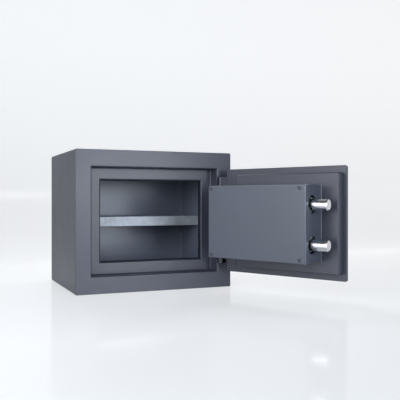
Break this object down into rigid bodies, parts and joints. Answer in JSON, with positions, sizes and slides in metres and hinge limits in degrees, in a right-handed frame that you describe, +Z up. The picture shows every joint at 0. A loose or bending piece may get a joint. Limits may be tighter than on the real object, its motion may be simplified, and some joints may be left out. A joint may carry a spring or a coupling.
{
  "type": "security safe",
  "caption": "Compact double-walled steel safe with a rebated door on lift-off hinges, sliding round bolts in a screwed lock case, one shelf",
  "frame": {"origin": "centre of the rectangular base, on the plane it stands on", "axes": "+X across the front to the hinge side, +Y from the front to the back, +Z up; millimetre model, metres in the row"},
  "size_m": [0.471, 0.5389, 0.3],
  "materials": {
    "graphite": "satin graphite powder coat",
    "graphite_case": "satin graphite powder coat",
    "filler": "cast mineral fill",
    "zinc": "galvanised",
    "steel": "turned",
    "chrome": "polished",
    "screw": "blackened",
    "brass": "plain",
    "bush": "moulded"
  },
  "bodies": {
    "cabinet": {"outer_casing": "graphite", "back_panel": "graphite", "door_frame": "graphite", "inner_liner": "graphite", "barrier_fill": "filler", "floor_anchor_sleeves": "zinc", "back_anchor_sleeves": "zinc", "hinge_pocket_lower": "graphite", "hinge_pocket_upper": "graphite", "hinge_knuckle_lower": "graphite", "hinge_knuckle_upper": "graphite", "hinge_pin_lower": "steel", "hinge_pin_upper": "steel", "hinge_washer_lower": "brass", "hinge_washer_upper": "brass", "shelf": "zinc", "shelf_rail_left": "graphite", "shelf_rail_right": "graphite"},
    "door": {"door_plate": "graphite", "door_pan": "graphite", "door_fill": "filler", "door_leaf_lower": "graphite", "door_leaf_upper": "graphite", "lock_case": "graphite_case", "case_pillars": "zinc", "case_screws": "screw", "mount_plate": "zinc", "guide_bracket": "zinc", "guide_bushes": "bush", "lock_body": "zinc", "handle_rose": "chrome", "key_escutcheon": "chrome", "key_cover_pivot": "steel", "dog_bracket_lower": "zinc", "dog_bracket_upper": "zinc", "dog_bolts": "chrome"},
    "bolt_work": {"live_bolt_upper": "chrome", "live_bolt_lower": "chrome", "bolt_bar": "zinc", "bolt_bar_screws": "steel"},
    "handle": {"handle_spindle": "steel", "handle_crank": "zinc", "handle_lever": "chrome"},
    "cover": {"key_cover": "chrome"}
  },
  "joints": [
    {"name": "door_hinge", "type": "hinge", "parent": "cabinet", "child": "door", "pos_m": [0.153, -0.125, 0.15], "axis": [0, 0, 1], "range_deg": [-118.4, 11.6]},
    {"name": "handle_turn", "type": "hinge", "parent": "door", "child": "handle", "pos_m": [0.2368, -0.27999, 0.1484], "axis": [-0.8796, -0.4756, 0], "range_deg": [0, 90]},
    {"name": "bolt_slide", "type": "slide", "parent": "door", "child": "bolt_work", "axis": [-0.4756, 0.8796, 0], "range_m": [0, 0.0286]},
    {"name": "cover_swing", "type": "hinge", "parent": "door", "child": "cover", "pos_m": [0.19875, -0.20962, 0.16], "axis": [-0.8796, -0.4756, 0], "range_deg": [0, 100]}
  ],
  "couplings": [
    {"joint": "bolt_slide", "follows": "handle_turn", "m_per_rad": 0.0182}
  ]
}
